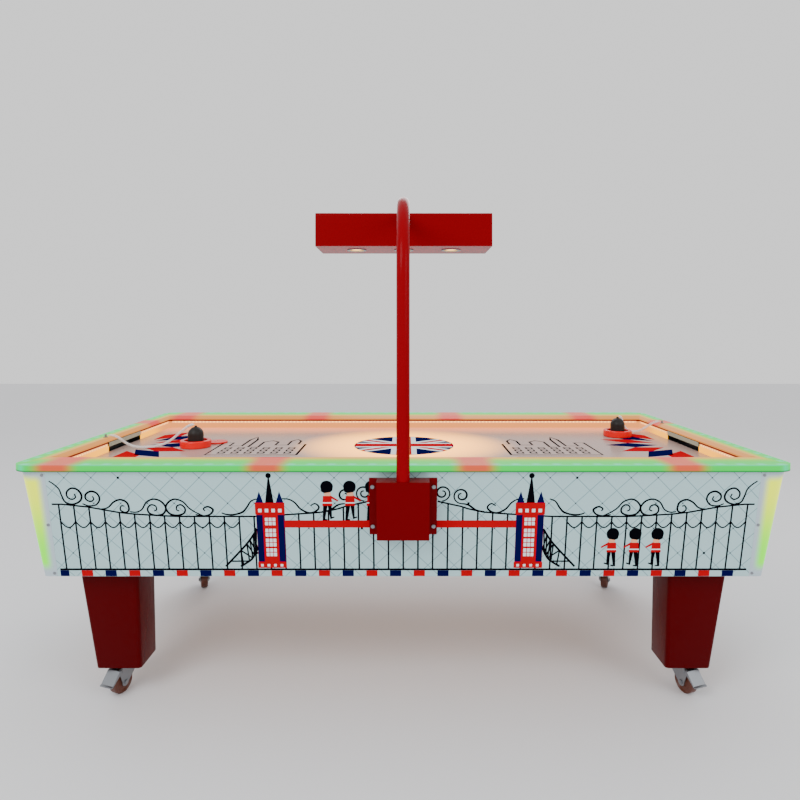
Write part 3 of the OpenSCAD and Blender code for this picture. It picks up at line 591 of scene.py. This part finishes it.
def between(points, x):
    # height of a line of points at x
    for (a, low), (b, high) in zip(points, points[1:]):
        if a <= x <= b:
            return low + (high - low) * (x - a) / (b - a)
    return points[-1][1]


def panelSide(sign):
    # a place on the panel's leaning face: along it, up it and off it
    lean = math.atan(scenery["lean"] / scenery["rise"])

    def lay(u, v, lift):
        out = scenery["faceY"] + tableY - (panelHigh.z - v) * scenery["lean"] / scenery["rise"]
        out += math.cos(lean) * lift + scenery["gap"]
        return (-sign * u, tableY + sign * out, v - math.sin(lean) * lift)
    return lay


def spiral(center, radius, turns, start, hand=1, inner=0.25, steps=22):
    # points of a spiral that winds inwards
    count = max(6, int(steps * turns))
    points = []
    for k in range(count + 1):
        reach = radius * (1 - (1 - inner) * k / count)
        angle = start + hand * 2 * math.pi * turns * k / count
        points.append((center[0] + reach * math.cos(angle), center[1] + reach * math.sin(angle)))
    return points


def scrollWork():
    # curls of the gate to the left of the middle; the right side mirrors them
    up = math.pi / 2
    return [
        curved([(-1.081, 0.749), (-1.067, 0.739), (-1.053, 0.723), (-1.047, 0.702), (-1.038, 0.681),
                (-1.016, 0.674), (-0.993, 0.684), (-0.986, 0.702), (-0.996, 0.721), (-1.015, 0.726),
                (-1.030, 0.714), (-1.030, 0.698), (-1.017, 0.690), (-1.005, 0.697), (-1.008, 0.708)]),
        curved([(-0.986, 0.676), (-0.968, 0.669), (-0.945, 0.672), (-0.932, 0.690), (-0.938, 0.709),
                (-0.956, 0.716), (-0.973, 0.706), (-0.974, 0.691), (-0.961, 0.683), (-0.950, 0.690),
                (-0.953, 0.700)]),
        curved([(-0.940, 0.660), (-0.926, 0.6585), (-0.908, 0.664), (-0.890, 0.681), (-0.869, 0.689),
                (-0.849, 0.679), (-0.845, 0.656), (-0.857, 0.647), (-0.871, 0.655), (-0.868, 0.668),
                (-0.858, 0.668)]),
        curved([(-0.842, 0.650), (-0.824, 0.648), (-0.805, 0.657), (-0.790, 0.680), (-0.768, 0.6906),
                (-0.745, 0.684), (-0.731, 0.663), (-0.740, 0.643), (-0.762, 0.6375), (-0.783, 0.645),
                (-0.787, 0.660), (-0.776, 0.672), (-0.762, 0.668), (-0.760, 0.656), (-0.768, 0.652)]),
        curved([(-0.617, 0.636), (-0.641, 0.648), (-0.660, 0.662), (-0.677, 0.682), (-0.701, 0.6906),
                (-0.720, 0.682), (-0.731, 0.663), (-0.720, 0.643), (-0.697, 0.6375), (-0.676, 0.645),
                (-0.672, 0.660), (-0.683, 0.672), (-0.696, 0.668), (-0.698, 0.656), (-0.690, 0.652)]),
        curved([(-0.641, 0.640), (-0.617, 0.636), (-0.596, 0.641), (-0.586, 0.656), (-0.601, 0.666),
                (-0.615, 0.660), (-0.611, 0.652)]),
        curved([(-0.560, 0.646), (-0.547, 0.641), (-0.523, 0.640), (-0.496, 0.648), (-0.482, 0.663),
                (-0.468, 0.6835), (-0.450, 0.6915)]),
        curved([(-0.372, 0.692), (-0.351, 0.690), (-0.333, 0.679), (-0.316, 0.6585), (-0.292, 0.646),
                (-0.273, 0.649), (-0.260, 0.661), (-0.263, 0.671), (-0.273, 0.676), (-0.285, 0.669)]),
        spiral((-0.179, 0.702), 0.026, 1.5, -up), spiral((-0.120, 0.7105), 0.026, 1.5, -up, -1),
        curved([(-0.250, 0.650), (-0.225, 0.655), (-0.200, 0.672), (-0.179, 0.676)]),
    ]


def tower(bm, lay, x, film):
    def block(x0, z0, x1, z1, color, layer=1):
        plate(bm, oblong(x + x0, z0, x + x1, z1), lay, film * layer, color)
    block(-0.045, 0.461, 0.045, 0.4805, scarlet, 1.2)
    block(-0.043, 0.4805, 0.043, 0.6405, scarlet, 1.2)
    block(-0.0455, 0.6405, 0.0455, 0.6795, scarlet, 1.3)
    for side in (-1, 1):
        a, b = sorted((side * 0.0425, side * 0.0235))
        block(a, 0.483, b, 0.639, navy, 1.6)
        # side spires with their caps
        tip = x + side * 0.031
        plate(bm, [(tip - 0.0115, 0.6795), (tip + 0.0115, 0.6795), (tip, 0.716)], lay, film * 1.2, navy)
    for k in range(4):
        block(-0.036 + k * 0.0205, 0.648, -0.0255 + k * 0.0205, 0.659, white, 2)
        block(-0.036 + k * 0.0205, 0.466, -0.028 + k * 0.0205, 0.474, white, 2)
    for low, high in ((0.605, 0.630), (0.567, 0.5935), (0.534, 0.5605), (0.501, 0.528)):
        for k in range(3):
            for row in (0, 1):
                z0 = low + row * (high - low) * 0.54
                block(-0.0165 + k * 0.0115, z0, -0.0075 + k * 0.0115, z0 + (high - low) * 0.44, white, 2)
    spike = [(x - 0.013, 0.6795), (x + 0.013, 0.6795), (x + 0.002, 0.76), (x - 0.002, 0.76)]
    plate(bm, spike, lay, film * 1.4, black)
    plate(bm, arc(x, 0.7665, 0.0085, 0, 345, 15), lay, film * 1.5, black)
    # the chain ramp on the tower's outer side, with its cross braces
    side = -1 if x < 0 else 1
    high, low = (curved([(x + side * u, z) for u, z in points]) for points in (
        ((0.043, 0.593), (0.063, 0.561), (0.088, 0.530), (0.147, 0.466)),
        ((0.043, 0.530), (0.053, 0.508), (0.067, 0.488), (0.100, 0.466))))
    for line in (high, low):
        ribbon(bm, line, 0.0065, lay, film * 1.8, black)
    for k in range(5):
        a, b = high[min(3 * k + 1, len(high) - 1)], low[min(3 * k + 4, len(low) - 1)]
        c, d = low[min(3 * k + 1, len(low) - 1)], high[min(3 * k + 4, len(high) - 1)]
        ribbon(bm, [a, b], 0.0045, lay, film * 2.2, black)
        ribbon(bm, [c, d], 0.0045, lay, film * 2.6, black)


def figure(bm, lay, x, foot, hand, film):
    # a plain toy figure in a tall hat, without a face; hand is the side its arm and foot point to
    def shape(points, color, layer):
        plate(bm, [(x + hand * u, foot + v) for u, v in (points if hand > 0 else reversed(points))], lay,
              film * layer, color)
    shape([(-0.016, 0.0), (-0.001, 0.0), (-0.001, 0.004), (-0.008, 0.005), (0.001, 0.052), (-0.013, 0.052)],
          black, 1.5)
    shape([(0.008, 0.004), (0.021, 0.009), (0.020, 0.013), (0.013, 0.011), (0.013, 0.052), (0.000, 0.052)],
          black, 1.8)
    shape([(-0.016, 0.048), (0.015, 0.048), (0.013, 0.080), (-0.013, 0.080)], scarlet, 2.4)
    shape([(-0.016, 0.056), (0.015, 0.056), (0.0148, 0.0595), (-0.0158, 0.0595)], white, 2.8)
    shape([(0.006, 0.076), (0.032, 0.062), (0.034, 0.066), (0.010, 0.082)], scarlet, 3.2)
    shape(arc(0.001, 0.086, 0.0105, 0, 345, 15), pale, 2.1)
    hat = arc(-0.001, 0.112, 0.0195, 0, 180, 12)
    hat += [(-0.0175, 0.096), (-0.008, 0.0915), (0.010, 0.0945), (0.016, 0.100)]
    shape([(u, v - 0.002) for u, v in hat], black, 2.5)


def scrollWidth(share):
    # curls thin out towards both ends
    return 0.0064 - 0.0026 * abs(2 * share - 1)


def printPanel(name, sign, hole=None):
    # hole is where along the panel a socket leaves the print out
    lay = panelSide(sign)
    film = scenery["film"]
    half = scenery["half"]
    bm = bmesh.new()
    low, high = scenery["baseLine"]
    plate(bm, oblong(-half, low, half, high), lay, film, black)
    row = scenery["blocks"]
    for k in range(row["count"]):
        x0 = max(row["start"] + row["every"] * k, -half)
        x1 = min(row["start"] + row["every"] * k + row["width"], half)
        plate(bm, oblong(x0, panelLow.z + 0.0006, x1, low - 0.0004), lay, film, scarlet if k % 2 else navy)
    bars = scenery["bars"]
    places = [bars["half"] * (2 * k / (bars["count"] - 1) - 1) for k in range(bars["count"])]
    for x in places:
        if hole and hole[0] < x < hole[1]:
            continue
        left, right = x - bars["width"] / 2, x + bars["width"] / 2
        bar = oblong(left, bars["low"], right, between(scenery["rail"], abs(x)))
        plate(bm, bar, lay, film * 0.8, black)
    swag = scenery["scallop"]
    for a, b in zip(places, places[1:]):
        if min(abs(a), abs(b)) > swag["from"]:
            line = [(a + (b - a) * k / 8, swag["high"] - swag["drop"] * math.sin(math.pi * k / 8))
                    for k in range(9)]
            ribbon(bm, line, 0.0042, lay, film * 0.9, black)
    for side in (-1, 1):
        rail = [(side * x, z) for x, z in scenery["rail"] if x > 0.1]
        ribbon(bm, rail, scenery["line"], lay, film, black)
        for line in scrollWork():
            ribbon(bm, [(-side * x, z) for x, z in line], scrollWidth, lay, film * 1.1, black)
    low, high = scenery["bridge"]
    left, right = scenery["towers"]
    plate(bm, oblong(left + 0.04, low, right - 0.04, high), lay, film * 1.1, scarlet)
    for x in scenery["towers"]:
        tower(bm, lay, x, film)
    for x in scenery["walkers"]:
        figure(bm, lay, x, high, 1, film)
    for x in scenery["guards"]:
        if hole and x > hole[1]:
            continue
        figure(bm, lay, x, 0.4665, -1, film)
    # small marks where the lattice lines cross
    for k in range(-2, 27):
        for j in range(4):
            x = panel["start"] + panel["columns"] * k
            z = panel["dotZ"] - panel["rows"] * j
            if abs(x) < half - 0.01 and z > 0.47 and not (hole and hole[0] < x < hole[1]):
                big = (k * 5 + j * 3) % 17 == 0
                plate(bm, arc(x, z, 0.0042 if big else 0.0022, 0, 300, 5), lay, film * 0.7, black)
    obj = newObject(name, bm, inks, smooth=0)
    return obj


printPanel("front_panel_artwork", -1)
printPanel("back_panel_artwork", 1, hole=(0.725, 0.785))


court = {"film": 0.00012, "gap": 0.00001, "roundel": 0.20, "skylineX": 0.40,
         # lozenges: half length and half width, and the arc that they stand on
         "lozenge": (0.105, 0.046), "fanX": 1.09, "fan": (0.17, 0.24),
         "fanAngles": (-66, -44, -22, 0, 22, 44, 66)}


def layField(u, v, lift):
    return (u, tableY + v, fieldZ + court["gap"] + lift)


def crossed(bm, radius, film):
    # a round badge of crossed stripes in red, white and navy
    plate(bm, arc(0, 0, radius, 0, 354, 59), layField, film * 0.25, navy)

    def stripe(angle, width, color, layer):
        reach = math.sqrt(radius * radius - width * width / 4) - 0.002
        turn = math.radians(angle)
        points = [(reach, -width / 2), (reach, width / 2), (-reach, width / 2), (-reach, -width / 2)]
        plate(bm, [(u * math.cos(turn) - v * math.sin(turn), u * math.sin(turn) + v * math.cos(turn))
                   for u, v in points], layField, film * layer, color)
    for k, angle in enumerate((35, 145)):
        stripe(angle, 0.062, white, 0.5 + 0.12 * k)
        stripe(angle, 0.022, scarlet, 0.75 + 0.12 * k)
    for k, angle in enumerate((0, 90)):
        stripe(angle, 0.098, white, 1.05 + 0.12 * k)
        stripe(angle, 0.058, scarlet, 1.4 + 0.12 * k)


def skyline(bm, x0, hand, film):
    # thin line drawing of a made-up skyline, read from the near side
    line = [(0.0, -0.20), (0.0, 0.02), (0.03, 0.02), (0.03, 0.09), (0.05, 0.13), (0.07, 0.09), (0.07, 0.0),
            (0.12, 0.0), (0.12, 0.07), (0.15, 0.10), (0.18, 0.07), (0.18, -0.04), (0.22, -0.04), (0.22, 0.12),
            (0.235, 0.19), (0.25, 0.12), (0.25, -0.02), (0.30, -0.02), (0.30, 0.05), (0.34, 0.05),
            (0.34, -0.20), (0.0, -0.20)]
    second = [(0.015, -0.24), (0.325, -0.24)]
    for path in (line, second):
        ribbon(bm, [(x0 + hand * u, v) for u, v in path], 0.009, layField, film, black)
    for k in range(6):
        u = 0.03 + k * 0.05
        for row in range(3):
            v = -0.17 + row * 0.045
            near, far = x0 + hand * u, x0 + hand * (u + 0.022)
            frameLine = [(near, v), (far, v), (far, v + 0.026), (near, v + 0.026), (near, v)]
            ribbon(bm, frameLine, 0.008, layField, film * 0.9, black)


bm = bmesh.new()
crossed(bm, court["roundel"], court["film"])
for hand in (-1, 1):
    skyline(bm, hand * court["skylineX"], hand, court["film"])
    # lozenges fanned out in front of the goal
    for k, angle in enumerate(court["fanAngles"]):
        turn = math.radians(angle)
        middle = (hand * (court["fanX"] - court["fan"][0] * math.cos(turn)), court["fan"][1] * math.sin(turn))
        long, wide = court["lozenge"]
        shape = [(long, 0), (0, wide), (-long, 0), (0, -wide)]
        points = [(middle[0] - hand * (u * math.cos(turn) - v * math.sin(turn)),
                   middle[1] + (u * math.sin(turn) + v * math.cos(turn))) for u, v in shape]
        plate(bm, points if hand < 0 else points[::-1], layField, court["film"], navy if k % 2 else scarlet)
fieldPrint = newObject("playfield_artwork", bm, inks, smooth=0)
print("artwork done")


def lightRow(bm, start, stop, normal):
    # a row of small lights on a tape, each a bevelled block
    length = (stop - start).length
    along = (stop - start) / length
    count = int(length / cushion["dotEvery"])
    wide, tall, deep = cushion["dot"]
    for k in range(count):
        at = start + along * (length * (k + 0.5) / count)
        rings = []
        for out, share in ((0, 1), (deep * 0.7, 1), (deep, 0.7)):
            rings.append([at + along * (a * wide / 2 * share) + Vector((0, 0, b * tall / 2 * share))
                          + normal * out for a, b in ((-1, -1), (1, -1), (1, 1), (-1, 1))])
        addLoops(bm, rings)


chip = Finish("led_chip", color=srgb(250, 235, 190), glow=srgb(*cushion["dotColor"], depth=2.4),
              glowPower=cushion["dotPower"], rough=0.3)
bm = bmesh.new()
stripZ, face = 0.775, 0.0012
for side in (-1, 1):
    y = tableY + side * (playY + face)
    lightRow(bm, Vector((-playX + 0.02, y, stripZ)), Vector((playX - 0.02, y, stripZ)), Vector((0, -side, 0)))
    x = side * (playX + face)
    for end in (-1, 1):
        beside, last = tableY + end * 0.15, tableY + end * (playY - 0.02)
        lightRow(bm, Vector((x, beside, stripZ)), Vector((x, last, stripZ)), Vector((-side, 0, 0)))
ledChips = newObject("led_chips", bm, chip, smooth=0)
print("lights done")


# plates over the goal slots
goalPlate = {"color": (168, 172, 158), "half": 0.138, "low": 0.7668, "high": 0.7832, "thick": 0.0006,
             "corner": 0.003, "screws": (-0.12, 0, 0.12), "screwRadius": 0.0035, "screwHigh": 0.0007}
plateFinish = painted("goal_plate_grey", srgb(*goalPlate["color"]), 0.35)
for side, name in ((-1, "left"), (1, "right")):
    bm = bmesh.new()

    def layGoal(u, v, lift):
        return (side * (playX - lift), tableY + u, v)
    outline = []
    bend, center = goalPlate["corner"], (goalPlate["low"] + goalPlate["high"]) / 2
    rise = (goalPlate["high"] - goalPlate["low"]) / 2 - bend
    for cx, cz, start in ((1, 1, 0), (-1, 1, 90), (-1, -1, 180), (1, -1, 270)):
        outline += arc(cx * (goalPlate["half"] - bend), center + cz * rise, bend, start, start + 90, 4)
    plate(bm, outline, layGoal, goalPlate["thick"])
    for u in goalPlate["screws"]:
        # a flat screw head
        head = arc(u, 0.775, goalPlate["screwRadius"], 0, 345, 15)
        plate(bm, head, layGoal, goalPlate["thick"] + goalPlate["screwHigh"])
    piece = newObject("goal_plate_" + name, bm, plateFinish, smooth=30)


studio = {"floor": (226, 226, 228), "world": 1.1, "key": 110, "fill": 50, "back": 50}


def areaLight(name, location, target, size, energy):
    data = bpy.data.lights.new(name, "AREA")
    data.shape = "DISK"
    data.size = size
    data.energy = energy
    light = bpy.data.objects.new(name, data)
    light.location = location
    light.rotation_euler = (Vector(target) - Vector(location)).to_track_quat("-Z", "Y").to_euler()
    bpy.context.collection.objects.link(light)


floorFinish = Finish("floor_pale", color=srgb(*studio["floor"]), rough=0.7)
bm = bmesh.new()
bmesh.ops.create_grid(bm, x_segments=2, y_segments=2, size=12)
floor = newObject("floor", bm, floorFinish, body=None, smooth=0)
areaLight("key", (-2.2, -3.4, 3.4), (0, 0, 0.7), 2.4, studio["key"])
areaLight("fill", (3.0, -2.8, 2.4), (0, 0, 0.6), 2.4, studio["fill"])
areaLight("back", (0.5, 3.2, 3.2), (0, 0, 0.8), 2.6, studio["back"])

world = bpy.data.worlds.new("studio")
world.use_nodes = True
world.node_tree.nodes["Background"].inputs["Color"].default_value = (1, 1, 1, 1)
world.node_tree.nodes["Background"].inputs["Strength"].default_value = studio["world"]
bpy.context.scene.world = world
